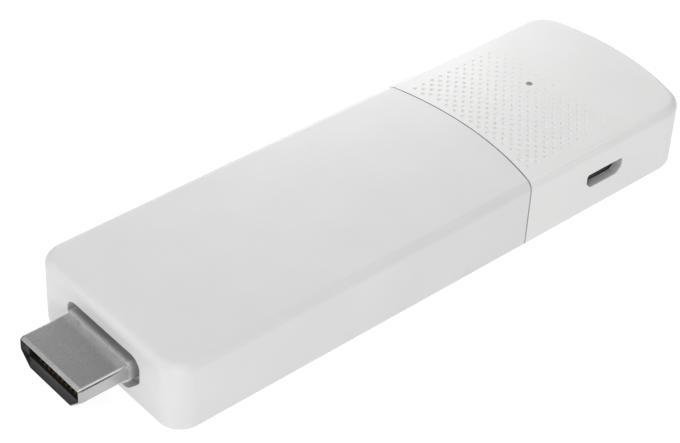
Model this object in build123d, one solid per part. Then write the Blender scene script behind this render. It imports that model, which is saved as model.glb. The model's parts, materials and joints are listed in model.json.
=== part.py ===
from build123d import *
import os
from math import sqrt

# A streaming stick: a one-piece sleeve and a rear cap around a board with a video plug.
# Sizes are in millimetres. +X runs from the plug to the rear cap, the charging port
# faces -Y, and +Z is up. While modelling, X is measured from the sleeve's front face.
# The finished pieces are moved so that the origin is under the middle of the whole
# stick, plug included, on the plane that the stick lies on.

# Housing
body_length = 102.0
body_width = 32.0
body_height = 11.7
front_corner_radius = 3.8
rear_corner_radius = 5.2
rear_bulge = 3.2
top_edge_radius = 1.4
bottom_edge_radius = 1.0
side_wall = 1.5
skin = 1.4

# Seam, lip and snaps between the sleeve and the cap
cap_length = 36.6
seam_bulge = 2.5
seam_gap = 0.2
seam_depth = 0.6
lip_length = 4.0
lip_root = 2.4
lip_thickness = 1.0
lip_clearance = 0.15
snap_length = 1.3
snap_span = 4.4
snap_height = 0.35
snap_clearance = 0.12
roof_snap_spread = 8.0

# Board
board_thickness = 1.0
board_clearance = 0.25
board_corner_radius = 1.0
rail_height = 1.0
rail_grip = 0.8
rail_gap = 0.1
rail_front = 14.0
board_tail_gap = 5.6
stop_width = 1.4
stop_spread = 13.0

# Video plug
plug_reach = 8.8
plug_width = 13.9
plug_height = 4.45
plug_side = 2.3
plug_foot = 9.6
plug_corner_radius = 0.55
plug_drop = 0.65
plug_sheet = 0.3
plug_tail = 6.4
tab_length = 3.6
tab_height = 2.4
lead_in_length = 0.55
lead_in_depth = 0.2
window_length = 1.8
window_width = 1.5
window_spread = 5.2
window_setback = 4.4
insulator_setback = 0.7
tongue_width = 11.4
tongue_height = 1.9
tongue_depth = 7.2
contact_pitch = 1.0
contact_width = 0.36
contact_sheet = 0.16
contact_crest = 0.28
contact_crest_length = 1.2
contact_setback = 0.6
contact_foot = 1.6
top_contacts = 10
bottom_contacts = 9

# Front opening, and the drawn steel collar that stands out of it with an open gap around
opening_margin = 1.3
collar_sheet = 0.3
collar_reach = 1.0
collar_flange = 0.9
collar_clearance = 0.1

# Charging port
port_from_rear = 20.4
port_width = 7.5
port_height = 2.45
port_side = 1.5
port_foot = 5.6
port_sink = 0.8
port_notch_gap = 0.15
port_ear_length = 2.2
port_ear_width = 1.1
port_corner_radius = 0.35
port_sheet = 0.25
port_depth = 5.2
port_inset = 0.15
port_slot_margin = 0.1
port_tongue_width = 3.9
port_tongue_height = 0.6
port_tongue_lift = 0.22
port_tongue_setback = 0.8
port_back = 1.6
port_contacts = 5
port_contact_pitch = 0.65
port_contact_width = 0.35
port_contact_sheet = 0.14
port_contact_foot = 0.7
port_rail_gap = 1.0

# Status light
light_from_rear = 18.8
light_y = 2.5
led_length = 1.6
led_width = 0.8
led_height = 0.6
pipe_diameter = 1.0
pipe_air_gap = 0.2
pipe_clearance = 0.03
pipe_flange_diameter = 2.3
pipe_flange_height = 0.6
pipe_boss_diameter = 3.2
pipe_recess = 0.05

# Reset button and its switch
button_from_rear = 20.4
button_width = 4.2
button_height = 1.8
button_clearance = 0.1
button_recess = 0.12
button_chamfer = 0.15
button_flange = 0.6
button_flange_sheet = 0.7
button_play = 0.06
button_travel = 0.3
nub_diameter = 1.2
switch_width = 4.7
switch_depth = 3.4
switch_height = 1.7
switch_cover_sheet = 0.2
plunger_width = 1.9
plunger_height = 0.8
plunger_reach = 0.8
plunger_tail = 1.2
plunger_clearance = 0.05

# Chips, shields and cooling
processor_size = 14.0
processor_height = 1.3
chip_step = 0.5
chip_rim = 0.7
memory_length = 10.5
memory_width = 7.5
memory_height = 1.0
memory_spread = 8.6
flash_x = 27.0
flash_length = 13.0
flash_width = 11.5
chip_spacing = 2.5
shield_front = 16.0
shield_chip_gap = 1.1
shield_height = 1.9
shield_sheet = 0.25
shield_flange = 0.9
shield_rail_gap = 0.7
lid_skirt = 1.1
lid_clearance = 0.05
tape_sheet = 0.2
spreader_margin = 0.8
spreader_sheet = 0.6
fin_height = 0.5
fin_width = 0.7
fin_count = 5
lower_shield_front = 17.5
lower_shield_length = 20.0
lower_shield_width = 18.0
lower_shield_height = 1.7
film_sheet = 0.2
film_front = 12.0
film_end_gap = 2.0
film_rail_gap = 0.4

# Power parts and small parts
inductor_size = 4.0
inductor_height = 1.9
inductor_corner = 0.8
inductor_count = 3
power_pitch = 5.0
controller_size = 4.0
controller_height = 0.8
capacitor_length = 2.0
capacitor_width = 1.25
capacitor_height = 1.2
capacitor_count = 5
capacitor_pitch = 4.0
resistor_length = 1.0
resistor_width = 0.5
resistor_height = 0.35
resistor_pitch = 1.5
plug_resistors = 6
power_resistors = 4
small_part_gap = 0.6
crystal_length = 3.2
crystal_width = 2.5
crystal_height = 0.8
protector_length = 2.5
protector_width = 1.2
protector_height = 0.6
protector_pitch = 5.5

# Radio
radio_from_rear = 29.5
radio_size = 5.0
radio_height = 0.8
radio_shield_length = 9.0
radio_shield_width = 11.0
radio_shield_height = 1.6
crystal_gap = 1.2
antenna_sheet = 0.3
antenna_length = 3.6
antenna_span = 7.0
antenna_height = 2.4
antenna_leg = 0.8
antenna_side_gap = 1.3
antenna_edge_gap = 0.8

# Places worked out from the sizes above
half_width = body_width / 2
cavity_half = half_width - side_wall
cavity_floor = skin
cavity_roof = body_height - skin
rear_radius = (half_width**2 + rear_bulge**2) / (2 * rear_bulge)
seam_x = body_length - cap_length
seam_radius = (half_width**2 + seam_bulge**2) / (2 * seam_bulge)
seam_centre = seam_x + seam_bulge - seam_radius
plug_z = body_height / 2 - plug_drop
plug_half = plug_width / 2
board_top = plug_z + board_thickness / 2
board_bottom = plug_z - board_thickness / 2
lip_outer = side_wall + lip_clearance
lip_inner = lip_outer + lip_thickness
board_half = half_width - lip_inner - board_clearance
rail_inner = board_half - rail_grip
board_front = plug_tail
board_rear = body_length - side_wall - board_tail_gap
neck_half = plug_half - plug_sheet
neck_end = plug_tail + tab_length
port_x = body_length - port_from_rear
port_z = board_top - port_sink + port_height / 2
port_mouth = -(cavity_half - port_inset)
port_end = port_mouth + port_depth
light_x = body_length - light_from_rear
button_x = body_length - button_from_rear
switch_z = board_top + switch_height / 2
button_out = half_width - button_recess
flange_out = cavity_half - button_play
flange_in = flange_out - button_flange_sheet
radio_x = body_length - radio_from_rear
shield_half = rail_inner - shield_rail_gap
shield_margin = shield_flange + shield_chip_gap
processor_x = shield_front + shield_margin + processor_size / 2
memory_x = processor_x + processor_size / 2 + chip_spacing + memory_length / 2
shield_end = memory_x + memory_length / 2 + shield_margin
shield_length = shield_end - shield_front
shield_x = (shield_front + shield_end) / 2
input_x = shield_end + shield_sheet + small_part_gap + capacitor_width
power_x = input_x + capacitor_width / 2 + small_part_gap + inductor_size / 2
output_x = power_x + inductor_size / 2 + small_part_gap + capacitor_width / 2
lid_under = board_top + shield_height
lid_top = lid_under + shield_sheet
spreader_under = lid_top + tape_sheet
origin_shift = (plug_reach - body_length) / 2


def slab(low, high):
    """A box from its low corner to its high corner."""
    size = [b - a for a, b in zip(low, high)]
    middle = [(a + b) / 2 for a, b in zip(low, high)]
    return Pos(*middle) * Box(*size)


def standing(x, y, z, length, width, height):
    """A box standing on the height z, centred on x and y."""
    return slab((x - length / 2, y - width / 2, z), (x + length / 2, y + width / 2, z + height))


def plan_face(inset):
    """The stick's outline from above: flat front, bulged rear and rounded corners."""
    half = half_width - inset
    side_end = body_length - rear_radius + sqrt((rear_radius - inset) ** 2 - half**2)
    sides = Polyline((side_end, half), (inset, half), (inset, -half), (side_end, -half))
    rear = ThreePointArc((side_end, -half), (body_length - inset, 0), (side_end, half))
    face = make_face(sides + rear)
    face = fillet(face.vertices().sort_by(Axis.X)[:2], front_corner_radius - inset)
    return fillet(face.vertices().sort_by(Axis.X)[-2:], rear_corner_radius - inset)


def plan_block(inset, low, high):
    """The outline, drawn in by inset, from the height low to the height high."""
    return Pos(0, 0, low) * extrude(plan_face(inset), high - low)


def outer_body():
    """The whole housing as one block with its rounded edges."""
    block = plan_block(0, 0, body_height)
    block = fillet(block.faces().sort_by(Axis.Z)[-1].edges(), top_edge_radius)
    return fillet(block.faces().sort_by(Axis.Z)[0].edges(), bottom_edge_radius)


def seam_zone(shift):
    """Everything in front of the seam's arc, moved to the rear by shift."""
    tall = 2 * body_height
    disc = Pos(seam_centre, 0, body_height / 2) * Cylinder(seam_radius + shift, tall)
    front = slab(
        (-plug_reach, -body_width, body_height / 2 - tall / 2),
        (seam_centre, body_width, body_height / 2 + tall / 2),
    )
    return disc + front


def both_sides(piece):
    """The piece and its mirror image across the stick's middle plane."""
    return piece + mirror(piece, Plane.XZ)


def d_section(width, height, side, foot, corner_radius, inset):
    """A connector's outline: flat top, upright sides, and a narrower foot."""
    half = width / 2
    points = [
        (half, height / 2),
        (half, height / 2 - side),
        (foot / 2, -height / 2),
        (-foot / 2, -height / 2),
        (-half, height / 2 - side),
        (-half, height / 2),
    ]
    face = make_face(Polyline(*points, close=True))
    face = fillet(face.vertices(), corner_radius)
    if inset:
        face = offset(face, -inset, kind=Kind.INTERSECTION)
    return face


def plug_block(inset, start, end):
    """The video plug's outline, drawn in by inset, from start to end along X."""
    section = d_section(plug_width, plug_height, plug_side, plug_foot, plug_corner_radius, inset)
    return extrude(Plane.YZ.offset(start) * Pos(0, plug_z) * section, end - start)


def port_block(inset, start, end):
    """The charging port's outline, drawn in by inset, from start to end along Y."""
    section = d_section(port_width, port_height, port_side, port_foot, port_corner_radius, inset)
    plane = Plane(origin=(port_x, end, port_z), x_dir=(1, 0, 0), z_dir=(0, -1, 0))
    return extrude(plane * section, end - start)


def button_block(grow, start, end):
    """The reset button's round-ended outline, grown by grow, from start to end along Y."""
    section = SlotOverall(button_width + 2 * grow, button_height + 2 * grow)
    plane = Plane(origin=(button_x, start, switch_z), x_dir=(-1, 0, 0), z_dir=(0, 1, 0))
    return extrude(plane * section, end - start)


def rail_pair(start, end):
    """The two ribs on the +Y wall that hold the board's edge between them."""
    outer = half_width - side_wall / 2
    lower = slab((start, rail_inner, board_bottom - rail_height), (end, outer, board_bottom))
    upper_low = board_top + rail_gap
    upper = slab((start, rail_inner, upper_low), (end, outer, upper_low + rail_height))
    return lower + upper


def snaps(grow):
    """The wedges on the lip, or, grown, the pockets that they click into."""
    x = seam_x - lip_length / 2
    length = snap_length / 2 + grow
    span = snap_span / 2 + grow
    height = snap_height + grow
    middle = body_height / 2
    side_face = half_width - side_wall
    root = lip_clearance + lip_thickness / 2
    side = slab(
        (x - length, side_face - root, middle - span), (x + length, side_face + height, middle + span)
    )
    roof = slab(
        (x - length, roof_snap_spread - span, cavity_roof - root),
        (x + length, roof_snap_spread + span, cavity_roof + height),
    )
    floor = slab(
        (x - length, roof_snap_spread - span, cavity_floor - height),
        (x + length, roof_snap_spread + span, cavity_floor + root),
    )
    return both_sides(side + roof + floor)


def main_sleeve():
    """The one-piece front housing, open at the rear, with rails for the board."""
    shell = outer_body() - plan_block(side_wall, cavity_floor, cavity_roof)
    shell = shell & seam_zone(0)
    groove = seam_zone(0) - seam_zone(-seam_gap)
    groove = groove - plan_block(seam_depth, seam_depth, body_height - seam_depth)
    shell = shell - groove
    shell = shell - plug_block(-opening_margin, -plug_reach, 2 * side_wall)
    rail_end = seam_x - lip_length - rail_gap
    shell = shell + both_sides(rail_pair(rail_front, rail_end))
    return shell - snaps(snap_clearance)


def cap_lip():
    """The tongue round the cap's front edge that slides into the sleeve."""
    low = cavity_floor + lip_clearance
    high = cavity_roof - lip_clearance
    ring = plan_block(lip_outer, low, high)
    ring = ring + (plan_block(side_wall, cavity_floor, cavity_roof) - seam_zone(0))
    ring = ring - plan_block(lip_inner, low + lip_thickness, high - lip_thickness)
    ring = ring & seam_zone(lip_root)
    ring = ring - seam_zone(-lip_length)
    return ring + snaps(0)


def rear_cap():
    """The rear housing with the port's slot, the light's hole and the button's hole."""
    shell = outer_body() - plan_block(side_wall, cavity_floor, cavity_roof)
    shell = shell - seam_zone(0)
    shell = shell + cap_lip()
    lip_end = seam_x + seam_bulge + lip_root
    port_reach = port_width / 2 + port_rail_gap
    shell = shell + both_sides(rail_pair(lip_end, port_x - port_reach))
    shell = shell + both_sides(rail_pair(port_x + port_reach, board_rear))
    stop = slab(
        (board_rear, stop_spread / 2, board_bottom - rail_height),
        (body_length - side_wall / 2, stop_spread / 2 + stop_width, board_top + rail_height),
    )
    shell = shell + (both_sides(stop) & plan_block(side_wall / 2, 0, body_height))
    boss_low = board_top + led_height + pipe_air_gap + pipe_flange_height
    boss = Pos(light_x, light_y, (boss_low + cavity_roof) / 2) * Cylinder(
        pipe_boss_diameter / 2, cavity_roof - boss_low
    )
    shell = shell + boss
    hole = Pos(light_x, light_y, boss_low) * Cylinder(
        pipe_diameter / 2 + pipe_clearance, 2 * (body_height - boss_low)
    )
    shell = shell - hole
    shell = shell - port_block(-port_slot_margin, -body_width, port_mouth)
    return shell - button_block(button_clearance, flange_in, body_width)


def plug_collar():
    """The drawn steel collar round the plug, flanged behind the sleeve's front wall."""
    back = side_wall + collar_sheet
    ring = plug_block(-collar_sheet, -collar_reach, back)
    flange = plug_block(-opening_margin - collar_flange, side_wall, back)
    room = plan_block(side_wall, cavity_floor + collar_clearance, cavity_roof - collar_clearance)
    return ring + (flange & room) - plug_block(0, -plug_reach, back)


def hdmi_shell():
    """The plug's folded steel shell with its two board tabs."""
    block = plug_block(0, -plug_reach, plug_tail)
    mouth = block.faces().sort_by(Axis.X)[0]
    block = chamfer(mouth.edges(), lead_in_depth, lead_in_length, reference=mouth)
    tube = block - plug_block(plug_sheet, -plug_reach, plug_tail)
    tab = slab(
        (plug_tail, neck_half, plug_z - tab_height / 2 + plug_side / 2),
        (neck_end, plug_half, plug_z + tab_height / 2),
    )
    window_x = -plug_reach + window_setback
    window = slab(
        (window_x, (window_spread - window_width) / 2, plug_z - plug_height),
        (window_x + window_length, (window_spread + window_width) / 2, plug_z),
    )
    return tube + both_sides(tab) - both_sides(window)


def contact_strip(y, flip):
    """One sprung contact; flip is 1 for the upper row and -1 for the lower one."""
    front = -plug_reach + insulator_setback + contact_setback
    cavity_end = -plug_reach + insulator_setback + tongue_depth
    tail = plug_tail - contact_sheet
    face = tongue_height / 2
    foot = board_thickness / 2
    dip = face - contact_crest
    crest = front + contact_crest_length / 2
    points = [
        (front, face),
        (cavity_end, face),
        (tail, foot + contact_sheet),
        (plug_tail + contact_foot, foot + contact_sheet),
        (plug_tail + contact_foot, foot),
        (tail, foot),
        (cavity_end, face - contact_sheet),
        (front + contact_crest_length, face - contact_sheet),
        (crest, dip),
        (front, face - contact_sheet),
    ]
    placed = [(x, plug_z + flip * z) for x, z in points]
    plane = Plane(origin=(0, y + contact_width / 2, 0), x_dir=(1, 0, 0), z_dir=(0, -1, 0))
    return extrude(plane * make_face(Polyline(*placed, close=True)), contact_width)


def row(count, pitch):
    """Evenly spaced places about zero."""
    return [(i - (count - 1) / 2) * pitch for i in range(count)]


def hdmi_contacts():
    """Ten upper and nine lower contacts, each reaching back onto the board."""
    upper = [contact_strip(y, 1) for y in row(top_contacts, contact_pitch)]
    lower = [contact_strip(y, -1) for y in row(bottom_contacts, contact_pitch)]
    return upper + lower


def hdmi_insulator():
    """The black moulding in the plug, with the slot for the socket's tongue."""
    front = -plug_reach + insulator_setback
    block = plug_block(plug_sheet, front, plug_tail)
    slot = slab(
        (front, -tongue_width / 2, plug_z - tongue_height / 2),
        (front + tongue_depth, tongue_width / 2, plug_z + tongue_height / 2),
    )
    return block - slot - hdmi_contacts()


def main_board():
    """The circuit board, with a narrow neck between the plug's tabs and the port's notch."""
    board = slab((board_front, -board_half, board_bottom), (board_rear, board_half, board_top))
    notch = slab(
        (board_front, neck_half, board_bottom), (neck_end, board_half, board_top)
    )
    board = board - both_sides(notch)
    port_reach = port_width / 2 + port_notch_gap
    board = board - slab(
        (port_x - port_reach, -board_half, board_bottom),
        (port_x + port_reach, port_end + port_notch_gap, board_top),
    )
    corners = board.edges().filter_by(Axis.Z).group_by(Axis.Y)
    return fillet(corners[0] + corners[-1], board_corner_radius)


def stepped_chip(x, y, z, length, width, height, up=1):
    """A chip with a thin base and a smaller moulded top; up is -1 under the board."""
    step = chip_step if height > 2 * chip_step else height / 2
    base = standing(x, y, 0, length, width, step)
    top = standing(x, y, step, length - chip_rim, width - chip_rim, height - step)
    chip = base + top
    if up < 0:
        chip = mirror(chip, Plane.XY)
    return Pos(0, 0, z) * chip


def processor():
    """The main processor under the upper shield."""
    return stepped_chip(processor_x, 0, board_top, processor_size, processor_size, processor_height)


def memory_chips():
    """Two memory chips behind the processor."""
    places = row(2, memory_spread)
    return [
        stepped_chip(memory_x, y, board_top, memory_length, memory_width, memory_height) for y in places
    ]


def flash_chip():
    """The storage chip under the board."""
    return stepped_chip(flash_x, 0, board_bottom, flash_length, flash_width, memory_height, up=-1)


def shield_frame():
    """The soldered fence round the processor and the memory, with an inward flange."""
    end = shield_end
    block = slab((shield_front, -shield_half, board_top), (end, shield_half, lid_under))
    sheet = shield_sheet
    room = slab(
        (shield_front + sheet, -shield_half + sheet, board_top),
        (end - sheet, shield_half - sheet, lid_under - sheet),
    )
    window = slab(
        (shield_front + shield_flange, -shield_half + shield_flange, board_top),
        (end - shield_flange, shield_half - shield_flange, lid_under),
    )
    return block - room - window


def shield_lid():
    """The lid clipped over the fence, with a short skirt."""
    grow = lid_clearance
    end = shield_end
    outer = grow + shield_sheet
    cover = slab(
        (shield_front - outer, -shield_half - outer, lid_under - lid_skirt),
        (end + outer, shield_half + outer, lid_top),
    )
    cover = fillet(cover.edges().filter_by(Axis.Z), outer)
    room = slab(
        (shield_front - grow, -shield_half - grow, lid_under - lid_skirt),
        (end + grow, shield_half + grow, lid_under),
    )
    return cover - room


def chip_pad():
    """The soft pad between the processor and the lid."""
    low = board_top + processor_height
    size = processor_size - chip_rim
    return standing(processor_x, 0, low, size, size, lid_under - low)


def spreader_tape():
    """The thermal tape between the lid and the spreader."""
    margin = 2 * spreader_margin
    width = 2 * shield_half - margin
    return standing(shield_x, 0, lid_top, shield_length - margin, width, tape_sheet)


def heat_spreader():
    """The finned aluminium plate over the shield."""
    margin = 2 * spreader_margin
    length = shield_length - margin
    width = 2 * shield_half - margin
    top = spreader_under + spreader_sheet
    plate = standing(shield_x, 0, spreader_under, length, width, spreader_sheet)
    plate = fillet(plate.edges().filter_by(Axis.Z), spreader_margin)
    pitch = (width - margin - fin_width) / (fin_count - 1)
    for y in row(fin_count, pitch):
        plate = plate + standing(shield_x, y, top, length - margin, fin_width, fin_height)
    return plate


def lower_shield():
    """The one-piece can over the storage chip, under the board."""
    end = lower_shield_front + lower_shield_length
    half = lower_shield_width / 2
    low = board_bottom - lower_shield_height
    sheet = shield_sheet
    can = slab((lower_shield_front, -half, low), (end, half, board_bottom))
    can = fillet(can.edges().filter_by(Axis.Z), 2 * sheet)
    room = slab(
        (lower_shield_front + sheet, -half + sheet, low + sheet), (end - sheet, half - sheet, board_bottom)
    )
    return can - room


def insulating_film():
    """The film on the sleeve's floor under the board."""
    end = seam_x - lip_length - film_end_gap
    half = rail_inner - film_rail_gap
    return slab((film_front, -half, cavity_floor), (end, half, cavity_floor + film_sheet))


def power_inductors():
    """The square power inductors, beside the power controller."""
    pieces = []
    for y in row(inductor_count + 1, power_pitch)[:-1]:
        block = standing(power_x, y, board_top, inductor_size, inductor_size, inductor_height)
        pieces.append(chamfer(block.edges().filter_by(Axis.Z), inductor_corner))
    return pieces


def power_controller():
    """The power controller at the end of the inductors' row."""
    y = row(inductor_count + 1, power_pitch)[-1]
    return stepped_chip(power_x, y, board_top, controller_size, controller_size, controller_height)


def chip_capacitors():
    """Ceramic capacitors before and behind the inductors, and by the charging port."""
    places = [(input_x, y) for y in row(capacitor_count, capacitor_pitch)]
    places += [(output_x, y) for y in row(inductor_count, power_pitch)]
    places += [(port_x - port_width / 2 - 2 * capacitor_width, port_end)]
    return [
        standing(x, y, board_top, capacitor_width, capacitor_length, capacitor_height)
        for x, y in places
    ]


def chip_resistors():
    """Small resistors between the plug and the shield, and behind the power parts."""
    plug_x = neck_end + small_part_gap + resistor_length
    places = [(plug_x, y) for y in row(plug_resistors, resistor_pitch)]
    rear_x = output_x + capacitor_width / 2 + small_part_gap + resistor_length / 2
    places += [(rear_x, y) for y in row(power_resistors, resistor_pitch)]
    return [
        standing(x, y, board_top, resistor_length, resistor_width, resistor_height) for x, y in places
    ]


def crystal():
    """The clock crystal beside the radio."""
    y = -radio_shield_width / 2 - crystal_gap - crystal_length / 2
    can = standing(radio_x, y, board_top, crystal_width, crystal_length, crystal_height)
    return fillet(can.edges().filter_by(Axis.Z), crystal_height / 2)


def surge_protectors():
    """Two protection arrays behind the plug's contacts."""
    x = plug_tail + contact_foot + protector_width
    return [
        standing(x, y, board_top, protector_width, protector_length, protector_height)
        for y in row(2, protector_pitch)
    ]


def radio_chip():
    """The radio chip near the rear of the board."""
    return stepped_chip(radio_x, 0, board_top, radio_size, radio_size, radio_height)


def radio_shield():
    """The can over the radio chip."""
    can = standing(
        radio_x, 0, board_top, radio_shield_length, radio_shield_width, radio_shield_height
    )
    can = fillet(can.edges().filter_by(Axis.Z), 2 * shield_sheet)
    room = standing(
        radio_x,
        0,
        board_top,
        radio_shield_length - 2 * shield_sheet,
        radio_shield_width - 2 * shield_sheet,
        radio_shield_height - shield_sheet,
    )
    return can - room


def antenna():
    """The stamped antenna on the +Y half of the board's rear end."""
    x = board_rear - antenna_edge_gap - antenna_length / 2
    y = board_half - antenna_side_gap - antenna_span / 2
    sheet = antenna_sheet
    plate = standing(x, y, board_top + antenna_height - sheet, antenna_length, antenna_span, sheet)
    low_y = y - antenna_span / 2
    front_x = x - antenna_length / 2
    feed = slab(
        (front_x, low_y, board_top), (front_x + antenna_leg, low_y + sheet, board_top + antenna_height)
    )
    ground = slab(
        (front_x + antenna_length - antenna_leg, low_y, board_top),
        (front_x + antenna_length, low_y + sheet, board_top + antenna_height),
    )
    slot = standing(
        x, y + antenna_span / 6, board_top + antenna_height - sheet, antenna_length / 3,
        antenna_span * 2 / 3, sheet,
    )
    return plate - slot + feed + ground


def usb_shell():
    """The charging port's steel shell, sunk in the board's notch, with ears that lie on the board."""
    reach = port_width / 2 + port_ear_width
    ears = slab(
        (port_x - reach, port_end - port_ear_length, board_top),
        (port_x + reach, port_end, board_top + port_sheet),
    )
    shell = port_block(0, port_mouth, port_end) + ears
    return shell - port_block(port_sheet, port_mouth, port_end)


def port_strip(x):
    """One contact of the charging port, from under its tongue to its foot on the board."""
    low_x = x - port_contact_width / 2
    high_x = x + port_contact_width / 2
    front = port_mouth + 2 * port_tongue_setback
    under = port_z + port_tongue_lift - port_tongue_height / 2
    bend = port_end + port_notch_gap
    strip = slab((low_x, front, under - port_contact_sheet), (high_x, bend, under))
    drop = slab((low_x, bend, board_top), (high_x, bend + port_contact_sheet, under))
    foot_end = bend + port_contact_foot
    foot = slab((low_x, bend, board_top), (high_x, foot_end, board_top + port_contact_sheet))
    return strip + drop + foot


def usb_contacts():
    """The five contacts of the charging port, which stand in its moulding."""
    return [port_strip(port_x + x) for x in row(port_contacts, port_contact_pitch)]


def usb_insulator():
    """The charging port's back block and tongue."""
    block = port_block(port_sheet, port_end - port_back, port_end)
    middle = port_z + port_tongue_lift
    tongue = slab(
        (port_x - port_tongue_width / 2, port_mouth + port_tongue_setback, middle - port_tongue_height / 2),
        (port_x + port_tongue_width / 2, port_end, middle + port_tongue_height / 2),
    )
    return block + tongue - usb_contacts()


def status_led():
    """The status light's tiny chip."""
    return standing(light_x, light_y, board_top, led_length, led_width, led_height)


def light_pipe():
    """The clear rod from the light to the cap's top, with a flange under its boss."""
    low = board_top + led_height + pipe_air_gap
    top = body_height - pipe_recess
    rod = Pos(light_x, light_y, (low + top) / 2) * Cylinder(pipe_diameter / 2, top - low)
    flange = Pos(light_x, light_y, low + pipe_flange_height / 2) * Cylinder(
        pipe_flange_diameter / 2, pipe_flange_height
    )
    return rod + flange


def plunger_block(grow, start, end):
    """The switch plunger's section, grown by grow, from start to end along Y."""
    half = plunger_width / 2 + grow
    height = plunger_height / 2 + grow
    return slab((button_x - half, start, switch_z - height), (button_x + half, end, switch_z + height))


switch_front = flange_in - nub_diameter / 2 - plunger_reach
switch_back = switch_front - switch_depth


def switch_housing():
    """The side-push switch's body, with the guide for its plunger."""
    body = standing(
        button_x,
        (switch_front + switch_back) / 2,
        board_top,
        switch_width,
        switch_depth,
        switch_height - switch_cover_sheet,
    )
    room_end = switch_front - plunger_tail - 2 * button_travel
    return body - plunger_block(plunger_clearance, room_end, switch_front)


def switch_cover():
    """The steel cover folded over the switch's body."""
    top = board_top + switch_height
    low = top - switch_cover_sheet
    half = switch_width / 2
    cover = slab((button_x - half, switch_back, low), (button_x + half, switch_front, top))
    ear = slab(
        (button_x + half, switch_back, board_top),
        (button_x + half + switch_cover_sheet, switch_front, top),
    )
    other = slab(
        (button_x - half - switch_cover_sheet, switch_back, board_top),
        (button_x - half, switch_front, top),
    )
    return cover + ear + other


def switch_plunger():
    """The switch's plunger, pushed inward by the reset button."""
    return plunger_block(0, switch_front - plunger_tail, flange_in - nub_diameter / 2)


def reset_button():
    """The reset button: a flush cap, a flange behind the wall and a nub."""
    cap = button_block(0, flange_in, button_out)
    cap = chamfer(cap.faces().sort_by(Axis.Y)[-1].edges(), button_chamfer)
    flange = button_block(button_flange, flange_in, flange_out)
    plane = Plane(origin=(button_x, flange_in, switch_z), x_dir=(-1, 0, 0), z_dir=(0, -1, 0))
    nub = extrude(plane * Circle(nub_diameter / 2), nub_diameter / 2)
    return cap + flange + nub


PIECES = {
    "main_sleeve": main_sleeve,
    "rear_cap": rear_cap,
    "plug_collar": plug_collar,
    "hdmi_shell": hdmi_shell,
    "hdmi_insulator": hdmi_insulator,
    "hdmi_contacts": hdmi_contacts,
    "main_board": main_board,
    "processor": processor,
    "memory_chips": memory_chips,
    "flash_chip": flash_chip,
    "shield_frame": shield_frame,
    "shield_lid": shield_lid,
    "chip_pad": chip_pad,
    "spreader_tape": spreader_tape,
    "heat_spreader": heat_spreader,
    "lower_shield": lower_shield,
    "insulating_film": insulating_film,
    "power_inductors": power_inductors,
    "power_controller": power_controller,
    "chip_capacitors": chip_capacitors,
    "chip_resistors": chip_resistors,
    "crystal": crystal,
    "surge_protectors": surge_protectors,
    "radio_chip": radio_chip,
    "radio_shield": radio_shield,
    "antenna_left": antenna,
    "antenna_right": lambda: mirror(antenna(), Plane.XZ),
    "usb_shell": usb_shell,
    "usb_insulator": usb_insulator,
    "usb_contacts": usb_contacts,
    "status_led": status_led,
    "light_pipe": light_pipe,
    "switch_housing": switch_housing,
    "switch_cover": switch_cover,
    "switch_plunger": switch_plunger,
    "reset_button": reset_button,
}

os.makedirs("parts", exist_ok=True)
for name, make in PIECES.items():
    made = make()
    solids = made if isinstance(made, list) else [made]
    placed = [Pos(origin_shift, 0, 0) * solid for piece in solids for solid in piece.solids()]
    export_step(Compound(children=placed), f"parts/{name}.step")
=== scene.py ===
import json
from math import cos, hypot, pi, radians, sin, sqrt

import bmesh
import bpy
from mathutils import Matrix, Vector


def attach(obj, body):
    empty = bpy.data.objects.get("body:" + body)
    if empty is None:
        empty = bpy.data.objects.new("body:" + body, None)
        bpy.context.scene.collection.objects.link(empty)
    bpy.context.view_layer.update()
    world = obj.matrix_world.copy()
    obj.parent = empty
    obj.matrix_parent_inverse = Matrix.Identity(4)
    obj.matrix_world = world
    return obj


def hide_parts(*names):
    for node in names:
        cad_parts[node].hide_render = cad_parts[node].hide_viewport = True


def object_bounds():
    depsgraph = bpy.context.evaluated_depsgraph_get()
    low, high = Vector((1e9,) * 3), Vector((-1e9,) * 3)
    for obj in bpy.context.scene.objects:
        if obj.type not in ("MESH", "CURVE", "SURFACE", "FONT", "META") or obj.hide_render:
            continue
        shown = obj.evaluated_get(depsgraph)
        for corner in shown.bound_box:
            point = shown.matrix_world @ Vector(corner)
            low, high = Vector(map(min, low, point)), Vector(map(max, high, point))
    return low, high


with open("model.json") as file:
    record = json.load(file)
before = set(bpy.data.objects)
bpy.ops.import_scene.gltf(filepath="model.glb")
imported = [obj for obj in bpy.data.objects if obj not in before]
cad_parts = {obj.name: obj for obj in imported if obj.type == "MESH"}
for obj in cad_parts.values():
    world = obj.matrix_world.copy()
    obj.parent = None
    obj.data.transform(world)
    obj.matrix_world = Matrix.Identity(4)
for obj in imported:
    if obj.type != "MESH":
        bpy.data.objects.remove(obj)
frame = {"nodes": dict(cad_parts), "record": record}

cad_low, cad_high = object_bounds()
nodes = frame["nodes"]
MM = 0.001

# The photograph's view of the stick
PHOTO_WIDTH = 680
FOCAL_PIXELS = 2049.5
SENSOR_WIDTH = 36.0
VIEW_AZIMUTH = -42.72
VIEW_ELEVATION = 39.07
VIEW_ROLL = 3.05
VIEW_DISTANCE = 300.7 * MM
AIM_POINT = Vector((-3.84, 1.22, 5.23)) * MM
SHIFT_RIGHT_PIXELS = 3.8
SHIFT_DOWN_PIXELS = -0.7
CLIP_NEAR = 0.01
CLIP_FAR = 20.0

# The groove between sleeve and cap, an arc in plan, whose faces are painted darker grey as painted
# shade
SEAM_CENTRE_X = -31.15 * MM
SEAM_RADIUS = 52.45 * MM
SEAM_GAP = 0.20 * MM
SEAM_EDGE = 0.01 * MM
# The grey of the seam groove's painted shade
SEAM_SHADE_TONE = 0.45
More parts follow.
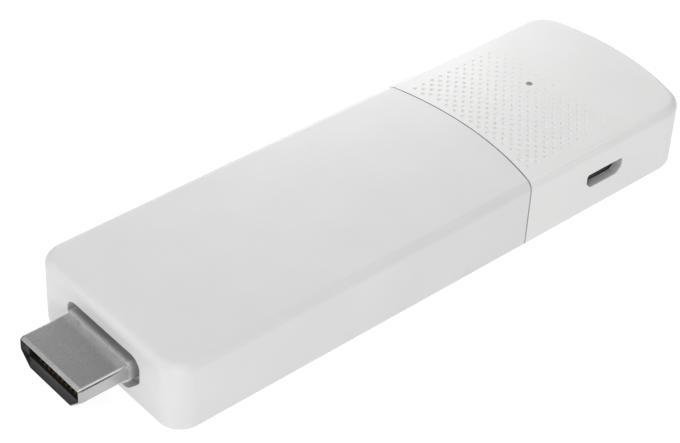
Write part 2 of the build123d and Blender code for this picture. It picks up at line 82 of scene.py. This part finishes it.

# The charging port's slot, whose inner faces are painted grey as painted shade
SLOT_CENTRE = Vector((35.0, -15.0, 6.125)) * MM
SLOT_HALF = Vector((4.2, 0.95, 1.7)) * MM
SLOT_FADE = 0.25 * MM
# The grey of the slot's painted shade
SLOT_SHADE_TONE = 0.50

# The field of dimples in the cap's top: offset rows whose dimples shrink toward the rear
FIELD_FRONT = 19.9 * MM
FIELD_LENGTH = 20.5 * MM
FIELD_HALF_WIDTH = 13.0 * MM
SEAM_MARGIN = 1.1 * MM
LIGHT_MARGIN = 1.3 * MM
ROW_PITCH = 0.88 * MM
DIMPLE_PITCH = 1.76 * MM
DIMPLE_RADIUS = 0.42 * MM
DIMPLE_DEPTH = 0.20 * MM
LAST_ROW_SCALE = 0.45
BOWL_SIDES = 14
BOWL_RINGS = 3
CUTTER_LIFT = 0.2 * MM

# The dimpled cap's mesh: seams closed below WELD, edges smooth below an angle, level faces flat
WELD = 0.001 * MM
SMOOTH_BELOW = 28
LEVEL = 0.9999
NORMAL_WEIGHT = 100

# The light table under the stick
FLOOR_SIZE = 6.0
FLOOR_GAP = 0.02 * MM
FLOOR_GLOW = 0.84
FLOOR_TONES = (0.28, 0.31)
FLOOR_ROUGH = (0.85, 0.90)
FLOOR_CLOUD = 40 * MM
FLOOR_IOR = 1.2

# The white tent round it: heights on the sky's ramp with their greys
TENT_STRENGTH = 0.43
TENT_LOW = (0.55, 0.35)
TENT_HIGH = (0.70, 1.0)

# Name, azimuth and elevation in degrees, distance, width and height in metres, watts
SOFT_BOXES = (
    ("near_corner", -46, 16, 0.45, 0.16, 0.16, 0.67),
    ("front", -95, 40, 0.45, 0.25, 0.25, 0.17),
    ("near_high", -43, 62, 0.45, 0.25, 0.25, 0.24),
    ("right_high", 50, 50, 0.45, 0.25, 0.25, 0.31),
    ("far_wall", 137, 16, 0.45, 0.40, 0.20, 0.41),
    ("front_left", 227, 25, 0.45, 0.25, 0.25, 0.36),
    ("left_high", 187, 58, 0.45, 0.17, 0.15, 0.10),
    ("close_left", 159, 32, 0.115, 0.08, 0.05, 0.015),
    ("close_cap", 140, 25, 0.075, 0.05, 0.02, 0.008),
    ("overhead", 0, 90, 0.50, 0.40, 0.40, 0.33),
)

PLASTIC_IOR = 1.49
LENS_IOR = 1.45

# The Mix node's colour sockets
MIX_FACTOR = 0
MIX_FIRST = 6
MIX_SECOND = 7
MIX_RESULT = 2


def tone(colour):
    """A grey or an RGB colour as four numbers."""
    if isinstance(colour, (int, float)):
        return (colour, colour, colour, 1.0)
    return (*colour, 1.0)


class Shader:
    """A material with one Principled shader and the helpers that feed it."""

    def __init__(self, name, **constants):
        self.material = bpy.data.materials.new(name)
        self.material.use_nodes = True
        self.tree = self.material.node_tree
        self.tree.nodes.clear()
        output = self.node("ShaderNodeOutputMaterial")
        self.principled = self.node("ShaderNodeBsdfPrincipled")
        self.link(self.principled.outputs[0], output.inputs["Surface"])
        for socket, value in constants.items():
            self.principled.inputs[socket.replace("_", " ")].default_value = value
        self.place = self.node("ShaderNodeTexCoord").outputs["Object"]

    def node(self, kind, **settings):
        """A new node with its settings."""
        made = self.tree.nodes.new(kind)
        for name, value in settings.items():
            setattr(made, name, value)
        return made

    def link(self, source, target):
        """Joins two sockets."""
        self.tree.links.new(source, target)

    def vector(self, operation, first, second=None):
        """A vector calculation; the second operand, if any, is a constant."""
        made = self.node("ShaderNodeVectorMath", operation=operation)
        self.link(first, made.inputs[0])
        if second is not None:
            made.inputs[1].default_value = second
        return made.outputs[0]

    def stretched(self, scale):
        """The piece's own coordinates, scaled along each axis."""
        made = self.node("ShaderNodeMapping")
        made.inputs["Scale"].default_value = scale
        self.link(self.place, made.inputs["Vector"])
        return made.outputs[0]

    def noise(self, size, detail=2.0, rough=0.5, place=None):
        """Soft noise whose blots are about size metres across."""
        made = self.node("ShaderNodeTexNoise")
        made.inputs["Scale"].default_value = 1 / size
        made.inputs["Detail"].default_value = detail
        made.inputs["Roughness"].default_value = rough
        self.link(place or self.place, made.inputs["Vector"])
        return made.outputs["Fac"]

    def cells(self, size):
        """Distance to the nearest of scattered cell centres, about size metres apart."""
        made = self.node("ShaderNodeTexVoronoi")
        made.inputs["Scale"].default_value = 1 / size
        self.link(self.place, made.inputs["Vector"])
        return made.outputs["Distance"]

    def ramp(self, factor, start, end):
        """Colours along a factor; each end is a position and a grey or a colour."""
        made = self.node("ShaderNodeValToRGB")
        for element, (position, colour) in zip(made.color_ramp.elements, (start, end)):
            element.position = position
            element.color = tone(colour)
        self.link(factor, made.inputs["Fac"])
        return made.outputs["Color"]

    def between(self, factor, low, high, spread=0.2):
        """From one grey or colour to another, round the middle of a factor."""
        return self.ramp(factor, (0.5 - spread, low), (0.5 + spread, high))

    def mix(self, factor, first, second):
        """Two colours mixed by a factor; each of the three is a socket or a value."""
        made = self.node("ShaderNodeMix", data_type="RGBA")
        for socket, value in ((MIX_FACTOR, factor), (MIX_FIRST, first), (MIX_SECOND, second)):
            if hasattr(value, "is_linked"):
                self.link(value, made.inputs[socket])
            elif socket == MIX_FACTOR:
                made.inputs[socket].default_value = value
            else:
                made.inputs[socket].default_value = tone(value)
        return made.outputs[MIX_RESULT]

    def inside(self, centre, half, fade):
        """1 inside a box round a centre, fading to 0 at the box's faces."""
        distance = self.vector("ABSOLUTE", self.vector("SUBTRACT", self.place, centre))
        split = self.node("ShaderNodeSeparateXYZ")
        wide = self.node("ShaderNodeMath", operation="MAXIMUM")
        most = self.node("ShaderNodeMath", operation="MAXIMUM")
        share = self.node("ShaderNodeMapRange")
        share.inputs["From Min"].default_value = 0
        share.inputs["From Max"].default_value = -fade
        self.link(self.vector("SUBTRACT", distance, half), split.inputs[0])
        self.link(split.outputs["X"], wide.inputs[0])
        self.link(split.outputs["Y"], wide.inputs[1])
        self.link(wide.outputs[0], most.inputs[0])
        self.link(split.outputs["Z"], most.inputs[1])
        self.link(most.outputs[0], share.inputs["Value"])
        return share.outputs["Result"]

    def ring(self, centre_x, inner, outer):
        """1 where the distance from an upright line is between two radii."""
        offset = self.vector("SUBTRACT", self.place, (centre_x, 0, 0))
        length = self.node("ShaderNodeVectorMath", operation="LENGTH")
        within = self.node("ShaderNodeMath", operation="COMPARE")
        within.inputs[1].default_value = (inner + outer) / 2
        within.inputs[2].default_value = (outer - inner) / 2
        self.link(self.vector("MULTIPLY", offset, (1, 1, 0)), length.inputs[0])
        self.link(length.outputs["Value"], within.inputs[0])
        return within.outputs[0]

    def relief(self, height, depth, strength):
        """Bump of a real depth in metres."""
        made = self.node("ShaderNodeBump")
        made.inputs["Strength"].default_value = strength
        made.inputs["Distance"].default_value = depth
        self.link(height, made.inputs["Height"])
        return made.outputs["Normal"]

    def feed(self, **sources):
        """Joins sockets to the shader's inputs by name."""
        for socket, source in sources.items():
            self.link(source, self.principled.inputs[socket.replace("_", " ")])
        return self.material


def seam_groove_shade(shader):
    """The groove round the sleeve's rear end, with the cap's front face: the mask where painted shade
    darkens the colour.
    """
    return shader.ring(SEAM_CENTRE_X, SEAM_RADIUS - SEAM_GAP - SEAM_EDGE, SEAM_RADIUS + SEAM_EDGE)


def port_slot_shade(shader):
    """The inner faces of the charging port's slot: the mask where painted shade darkens the colour.
    """
    return shader.inside(SLOT_CENTRE, SLOT_HALF, SLOT_FADE)


def moulded(name, light, dark, rough, grain, depth, shaded_recesses=()):
    """Moulded plastic: faint clouding, spark-eroded grain, uneven gloss, and recesses painted grey as
    painted shade.
    """
    shader = Shader(name, IOR=PLASTIC_IOR)
    cloud = shader.noise(9 * MM, detail=3.0)
    colour = shader.between(cloud, dark, light)
    # Each recess mask mixes its grey into the colour: painted shade
    for shade_mask, grey in shaded_recesses:
        colour = shader.mix(shade_mask(shader), colour, grey)
    fine = shader.noise(grain, detail=3.0, rough=0.6)
    gloss = shader.between(shader.noise(2.5 * MM), rough - 0.04, rough + 0.04)
    normal = shader.relief(fine, depth, strength=0.6)
    return shader.feed(Base_Color=colour, Roughness=gloss, Normal=normal)


def brushed_metal(name, light, dark, rough, along, depth):
    """Rolled and plated sheet metal, with fine lines along one axis and faint blotches."""
    shader = Shader(name, Metallic=1.0)
    lines = shader.noise(0.12 * MM, detail=3.0, rough=0.7, place=shader.stretched(along))
    blotch = shader.noise(3 * MM, detail=4.0, rough=0.6)
    worn = shader.mix(0.5, lines, blotch)
    colour = shader.between(worn, dark, light, spread=0.15)
    gloss = shader.between(worn, rough + 0.08, rough - 0.05)
    normal = shader.relief(lines, depth, strength=0.5)
    return shader.feed(Base_Color=colour, Roughness=gloss, Normal=normal)


def speckled(name, base, speck, size, share, rough, metallic=0.0):
    """A pressed or fired surface with fine specks in it."""
    shader = Shader(name, Metallic=metallic)
    specks = shader.ramp(shader.cells(size), (share, 1.0), (share + 0.15, 0.0))
    cloud = shader.noise(1.2 * MM, detail=3.0)
    ground = shader.between(cloud, [channel * 0.85 for channel in base], base)
    colour = shader.mix(specks, ground, speck)
    gloss = shader.between(cloud, rough + 0.06, rough - 0.06)
    normal = shader.relief(shader.noise(size / 2), 0.01 * MM, strength=0.5)
    return shader.feed(Base_Color=colour, Roughness=gloss, Normal=normal)


def board_lacquer():
    """Green lacquer over copper: broad tracks that show faintly through it, and a weave."""
    shader = Shader("board_lacquer", Coat_Weight=0.4, Coat_Roughness=0.15)
    tracks = shader.node("ShaderNodeTexBrick")
    tracks.inputs["Scale"].default_value = 1 / (6 * MM)
    tracks.inputs["Mortar Size"].default_value = 0.03
    tracks.inputs["Mortar Smooth"].default_value = 0.2
    shader.link(shader.place, tracks.inputs["Vector"])
    weave = shader.noise(0.25 * MM, rough=0.6, place=shader.stretched((1, 0.2, 1)))
    green = shader.between(weave, (0.004, 0.045, 0.018), (0.008, 0.075, 0.030))
    copper = shader.between(weave, (0.018, 0.110, 0.045), (0.026, 0.140, 0.055))
    colour = shader.mix(tracks.outputs["Fac"], green, copper)
    gloss = shader.between(weave, 0.42, 0.32)
    normal = shader.relief(tracks.outputs["Fac"], 0.03 * MM, strength=0.5)
    return shader.feed(Base_Color=colour, Roughness=gloss, Normal=normal)


def clear_rod():
    """The clear plastic of the light pipe, slightly milky."""
    shader = Shader("clear_rod", IOR=PLASTIC_IOR, Transmission_Weight=0.35)
    cloud = shader.noise(0.5 * MM)
    colour = shader.between(cloud, (0.30, 0.31, 0.31), (0.42, 0.43, 0.43))
    gloss = shader.between(cloud, 0.32, 0.22)
    normal = shader.relief(cloud, 0.01 * MM, strength=0.3)
    return shader.feed(Base_Color=colour, Roughness=gloss, Normal=normal)


def light_chip():
    """The status light's chip: a yellow lens in a white body."""
    shader = Shader("light_chip", IOR=LENS_IOR)
    cloud = shader.noise(0.4 * MM)
    colour = shader.between(cloud, (0.70, 0.55, 0.10), (0.80, 0.76, 0.62), spread=0.1)
    gloss = shader.between(cloud, 0.35, 0.2)
    return shader.feed(Base_Color=colour, Roughness=gloss)


# The material of each slot in the record
FINISHES = {
    "sleeve_plastic": moulded(
        "sleeve_plastic", light=0.675, dark=0.655, rough=0.42, grain=0.10 * MM, depth=0.008 * MM,
        # The seam groove is painted darker: painted shade
        shaded_recesses=[(seam_groove_shade, SEAM_SHADE_TONE)],
    ),
    "cap_plastic": moulded(
        "cap_plastic", light=(0.740, 0.732, 0.729), dark=(0.720, 0.712, 0.709),
        rough=0.38, grain=0.12 * MM, depth=0.006 * MM,
        # The seam groove and the port's slot are painted darker: painted shade
        shaded_recesses=[(seam_groove_shade, SEAM_SHADE_TONE), (port_slot_shade, SLOT_SHADE_TONE)],
    ),
    "button_plastic": moulded(
        "button_plastic", light=0.62, dark=0.59, rough=0.40, grain=0.10 * MM, depth=0.008 * MM,
    ),
    "dark_plastic": moulded(
        "dark_plastic", light=0.018, dark=0.012, rough=0.45, grain=0.08 * MM, depth=0.010 * MM,
    ),
    "collar_steel": brushed_metal(
        "collar_steel", light=0.66, dark=0.58, rough=0.36, along=(1, 0.25, 1), depth=0.003 * MM,
    ),
    "plug_steel": brushed_metal(
        "plug_steel", light=0.50, dark=0.41, rough=0.24, along=(0.25, 1, 1), depth=0.004 * MM,
    ),
    "shield_steel": brushed_metal(
        "shield_steel", light=0.66, dark=0.55, rough=0.30, along=(0.25, 1, 1), depth=0.004 * MM,
    ),
    "aluminium": brushed_metal(
        "aluminium", light=0.80, dark=0.70, rough=0.38, along=(0.2, 1, 1), depth=0.006 * MM,
    ),
    "gold": brushed_metal(
        "gold", light=(0.95, 0.68, 0.28), dark=(0.80, 0.54, 0.20),
        rough=0.25, along=(0.3, 1, 1), depth=0.002 * MM,
    ),
    "chip_black": speckled(
        "chip_black", base=(0.020, 0.020, 0.022), speck=0.05, size=0.10 * MM, share=0.2, rough=0.55,
    ),
    "thermal_grey": speckled(
        "thermal_grey", base=(0.20, 0.21, 0.22), speck=0.32, size=0.15 * MM, share=0.2, rough=0.75,
    ),
    "tape_white": speckled(
        "tape_white", base=(0.62, 0.62, 0.60), speck=0.72, size=0.20 * MM, share=0.15, rough=0.65,
    ),
    "film": speckled(
        "film", base=(0.32, 0.22, 0.08), speck=(0.40, 0.29, 0.12),
        size=0.30 * MM, share=0.1, rough=0.30,
    ),
    "ceramic_tan": speckled(
        "ceramic_tan", base=(0.36, 0.25, 0.15), speck=(0.46, 0.34, 0.22),
        size=0.08 * MM, share=0.2, rough=0.5,
    ),
    "resistor_black": speckled(
        "resistor_black", base=(0.02, 0.02, 0.02), speck=0.10, size=0.08 * MM, share=0.15, rough=0.45,
    ),
    "inductor_grey": speckled(
        "inductor_grey", base=(0.10, 0.10, 0.11), speck=0.20,
        size=0.10 * MM, share=0.25, rough=0.6, metallic=0.3,
    ),
    "board": board_lacquer(),
    "led": light_chip(),
    "light_pipe": clear_rod(),
}


def make_camera():
    """The camera at the photograph's viewing angle."""
    azimuth, elevation = radians(VIEW_AZIMUTH), radians(VIEW_ELEVATION)
    back = Vector((sin(azimuth) * cos(elevation), -cos(azimuth) * cos(elevation), sin(elevation)))
    right = (-back).cross(Vector((0, 0, 1))).normalized()
    up = right.cross(-back)
    roll = radians(VIEW_ROLL)
    rolled_right = right * cos(roll) + up * sin(roll)
    rolled_up = up * cos(roll) - right * sin(roll)
    data = bpy.data.cameras.new("camera")
    data.sensor_width = SENSOR_WIDTH
    data.lens = FOCAL_PIXELS * SENSOR_WIDTH / PHOTO_WIDTH
    data.shift_x = SHIFT_RIGHT_PIXELS / PHOTO_WIDTH
    data.shift_y = SHIFT_DOWN_PIXELS / PHOTO_WIDTH
    data.clip_start = CLIP_NEAR
    data.clip_end = CLIP_FAR
    camera = bpy.data.objects.new("camera", data)
    turn = Matrix((rolled_right, rolled_up, back)).transposed()
    camera.matrix_world = Matrix.Translation(AIM_POINT + back * VIEW_DISTANCE) @ turn.to_4x4()
    bpy.context.scene.collection.objects.link(camera)
    bpy.context.scene.camera = camera


def dress_nodes():
    """Each CAD node gets the material of its slot in the record."""
    for part in frame["record"]["subparts"]:
        mesh = nodes[part["node"]].data
        mesh.materials.clear()
        mesh.materials.append(FINISHES[part["material_slot"]])


def box_of(name):
    """The low and high corner of a CAD node."""
    points = [nodes[name].matrix_world @ vertex.co for vertex in nodes[name].data.vertices]
    axes = list(zip(*points))
    return Vector(map(min, axes)), Vector(map(max, axes))


def dimple_places():
    """The centre and scale of each dimple, clear of the seam and of the status light."""
    top = box_of("rear_cap")[1].z
    light_low, light_high = box_of("light_pipe")
    light = (light_low + light_high) / 2
    places = []
    rows = int(FIELD_LENGTH / ROW_PITCH)
    columns = int(FIELD_HALF_WIDTH / DIMPLE_PITCH) + 1
    for row in range(rows):
        x = FIELD_FRONT + row * ROW_PITCH
        scale = 1 - (1 - LAST_ROW_SCALE) * row / (rows - 1)
        for column in range(-columns, columns + 1):
            y = (column + (row % 2) / 2) * DIMPLE_PITCH
            past_seam = hypot(x - SEAM_CENTRE_X, y) - SEAM_RADIUS
            past_light = hypot(x - light.x, y - light.y)
            if abs(y) < FIELD_HALF_WIDTH and past_seam > SEAM_MARGIN and past_light > LIGHT_MARGIN:
                places.append((Vector((x, y, top)), scale))
    return places


def add_bowl(cutter, place, scale):
    """One shallow round bowl below the surface, closed by a lid above it."""
    radius, depth = DIMPLE_RADIUS * scale, DIMPLE_DEPTH * scale
    ball = (radius**2 + depth**2) / (2 * depth)
    bottom = cutter.verts.new(place - Vector((0, 0, depth)))
    sizes = []
    for ring in range(1, BOWL_RINGS + 1):
        wide = radius * ring / BOWL_RINGS
        sizes.append((wide, ball - depth - sqrt(ball**2 - wide**2)))
    sizes.append((radius + CUTTER_LIFT, CUTTER_LIFT))
    turns = [2 * pi * side / BOWL_SIDES for side in range(BOWL_SIDES)]
    rings = []
    for wide, rise in sizes:
        points = [Vector((wide * cos(turn), wide * sin(turn), rise)) for turn in turns]
        rings.append([cutter.verts.new(place + point) for point in points])
    for side in range(BOWL_SIDES):
        after = (side + 1) % BOWL_SIDES
        cutter.faces.new((bottom, rings[0][after], rings[0][side]))
        for inner, outer in zip(rings, rings[1:]):
            cutter.faces.new((inner[side], inner[after], outer[after], outer[side]))
    cutter.faces.new(rings[-1])


def make_dimpled_cap():
    """The cap with its field of dimples, in place of the plain cap."""
    plain = nodes["rear_cap"]
    body = bmesh.new()
    body.from_mesh(plain.data)
    body.transform(plain.matrix_world)
    bmesh.ops.remove_doubles(body, verts=body.verts, dist=WELD)
    mesh = bpy.data.meshes.new("dimpled_cap")
    body.to_mesh(mesh)
    body.free()
    cap = bpy.data.objects.new("dimpled_cap", mesh)
    bpy.context.scene.collection.objects.link(cap)
    bowls = bmesh.new()
    for place, scale in dimple_places():
        add_bowl(bowls, place, scale)
    cutter_mesh = bpy.data.meshes.new("dimple_cutter")
    bowls.to_mesh(cutter_mesh)
    bowls.free()
    cutter = bpy.data.objects.new("dimple_cutter", cutter_mesh)
    bpy.context.scene.collection.objects.link(cutter)
    cut = cap.modifiers.new("dimples", "BOOLEAN")
    cut.operation = "DIFFERENCE"
    cut.solver = "EXACT"
    cut.object = cutter
    cut_cap = cap.evaluated_get(bpy.context.evaluated_depsgraph_get())
    cap_mesh = bpy.data.meshes.new_from_object(cut_cap)
    cap.modifiers.remove(cut)
    cap.data = cap_mesh
    bpy.data.objects.remove(cutter)
    cap_mesh.shade_smooth()
    cap_mesh.set_sharp_from_angle(angle=radians(SMOOTH_BELOW))
    for face in cap_mesh.polygons:
        face.use_smooth = face.normal.z < LEVEL
    shade = cap.modifiers.new("even shading", "WEIGHTED_NORMAL")
    shade.keep_sharp = True
    shade.weight = NORMAL_WEIGHT
    cap_mesh.materials.clear()
    cap_mesh.materials.append(FINISHES["cap_plastic"])
    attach(cap, "housing")
    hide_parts("rear_cap")


def make_floor():
    """The plain pale floor that the stick lies on: a light table that glows faintly."""
    mesh = bpy.data.meshes.new("floor")
    sheet = bmesh.new()
    bmesh.ops.create_grid(sheet, x_segments=1, y_segments=1, size=FLOOR_SIZE / 2)
    sheet.to_mesh(mesh)
    sheet.free()
    floor = bpy.data.objects.new("floor", mesh)
    floor.location.z = cad_low.z - FLOOR_GAP
    bpy.context.scene.collection.objects.link(floor)
    shader = Shader("floor_paper", IOR=FLOOR_IOR, Emission_Strength=FLOOR_GLOW)
    shader.principled.inputs["Emission Color"].default_value = tone(1.0)
    cloud = shader.noise(FLOOR_CLOUD)
    colour = shader.between(cloud, *FLOOR_TONES)
    gloss = shader.between(cloud, *FLOOR_ROUGH)
    mesh.materials.append(shader.feed(Base_Color=colour, Roughness=gloss))


def soft_box(name, azimuth, elevation, distance, width, height, power):
    """A soft box that faces the stick from a direction; power is in watts."""
    data = bpy.data.lights.new(name, "AREA")
    data.shape = "RECTANGLE"
    data.size = width
    data.size_y = height
    data.energy = power
    lamp = bpy.data.objects.new(name, data)
    a, e = radians(azimuth), radians(elevation)
    away = Vector((sin(a) * cos(e), -cos(a) * cos(e), sin(e)))
    lamp.location = away * distance
    lamp.rotation_mode = "QUATERNION"
    lamp.rotation_quaternion = away.to_track_quat("Z", "Y")
    bpy.context.scene.collection.objects.link(lamp)


def make_light():
    """A white tent, brighter overhead than at the sides, and soft boxes round the stick."""
    scene = bpy.context.scene
    world = bpy.data.worlds.new("tent")
    world.use_nodes = True
    tree = world.node_tree
    place = tree.nodes.new("ShaderNodeTexCoord")
    split = tree.nodes.new("ShaderNodeSeparateXYZ")
    ramp = tree.nodes.new("ShaderNodeValToRGB")
    for element, (height, grey) in zip(ramp.color_ramp.elements, (TENT_LOW, TENT_HIGH)):
        element.position = height
        element.color = tone(grey)
    tree.links.new(place.outputs["Generated"], split.inputs[0])
    tree.links.new(split.outputs["Z"], ramp.inputs["Fac"])
    tree.links.new(ramp.outputs["Color"], tree.nodes["Background"].inputs["Color"])
    tree.nodes["Background"].inputs["Strength"].default_value = TENT_STRENGTH
    scene.world = world
    for box in SOFT_BOXES:
        soft_box(*box)
    scene.view_settings.view_transform = "Standard"


make_camera()
dress_nodes()
make_dimpled_cap()
make_floor()
make_light()
